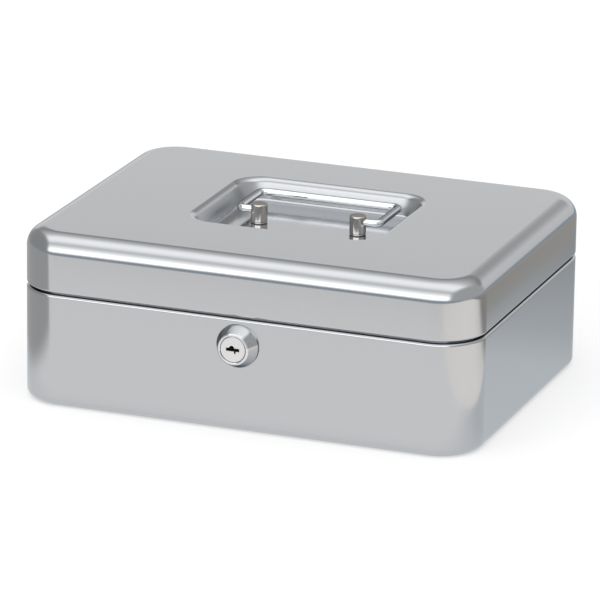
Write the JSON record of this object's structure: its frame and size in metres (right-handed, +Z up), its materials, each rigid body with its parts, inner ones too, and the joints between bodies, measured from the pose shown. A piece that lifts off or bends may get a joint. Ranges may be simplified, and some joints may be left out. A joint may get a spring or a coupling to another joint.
{
  "type": "cash box",
  "caption": "Lockable steel cash box with rounded corners, a hinged lid with a recessed folding wire handle, a cam lock and a lift-out coin tray.",
  "frame": {"origin": "centre of the box's underside", "axes": "+Z up; the lock faces -Y and the lid's hinges are at +Y; +X is to the right seen from the front"},
  "size_m": [0.25, 0.1985, 0.092],
  "materials": {
    "silver_lacquer": "satin metallic silver lacquer",
    "chrome_wire": "bright chrome plate",
    "nickel": "polished nickel plate on turned metal",
    "satin_nickel": "satin nickel plate",
    "zinc": "bright zinc plate",
    "steel_pin": "plain drawn steel",
    "brass": "stamped brass",
    "black_plastic": "fine-grained moulded plastic"
  },
  "bodies": {
    "base": {"base_shell": "silver_lacquer", "hinge_base_leaf_left": "zinc", "hinge_base_leaf_right": "zinc", "hinge_pin_left": "steel_pin", "hinge_pin_right": "steel_pin", "lock_body": "nickel", "lock_washer": "zinc", "lock_nut": "zinc", "tray_rail_left": "silver_lacquer", "tray_rail_right": "silver_lacquer"},
    "lid": {"lid_shell": "silver_lacquer", "lid_catch": "zinc", "hinge_lid_leaf_left": "zinc", "hinge_lid_leaf_right": "zinc", "handle_post_left": "nickel", "handle_post_right": "nickel", "post_washers": "zinc"},
    "handle": {"handle_bail": "chrome_wire"},
    "lock_core": {"lock_plug": "satin_nickel", "wafer_springs": "steel_pin", "stop_washer": "zinc", "lock_cam": "zinc", "cam_screw": "zinc"},
    "wafers": {"lock_wafers": "brass"},
    "tray": {"coin_tray": "black_plastic"}
  },
  "joints": [
    {"name": "lid_hinge", "type": "hinge", "parent": "base", "child": "lid", "pos_m": [0, 0.0938, 0.061], "axis": [-1, 0, 0], "range_deg": [0, 100]},
    {"name": "handle_swing", "type": "hinge", "parent": "lid", "child": "handle", "pos_m": [0, 0.0052, 0.0877], "axis": [1, 0, 0], "range_deg": [-8, 188]},
    {"name": "lock_turn", "type": "hinge", "parent": "base", "child": "lock_core", "pos_m": [0, -0.095, 0.0463], "axis": [0, -1, 0], "range_deg": [0, 90]},
    {"name": "wafer_slide", "type": "slide", "parent": "lock_core", "child": "wafers", "axis": [1, 0, 0], "range_m": [0, 0.0007]},
    {"name": "tray_lift", "type": "slide", "parent": "base", "child": "tray", "axis": [0, 0, 1], "range_m": [0, 0.015]}
  ]
}
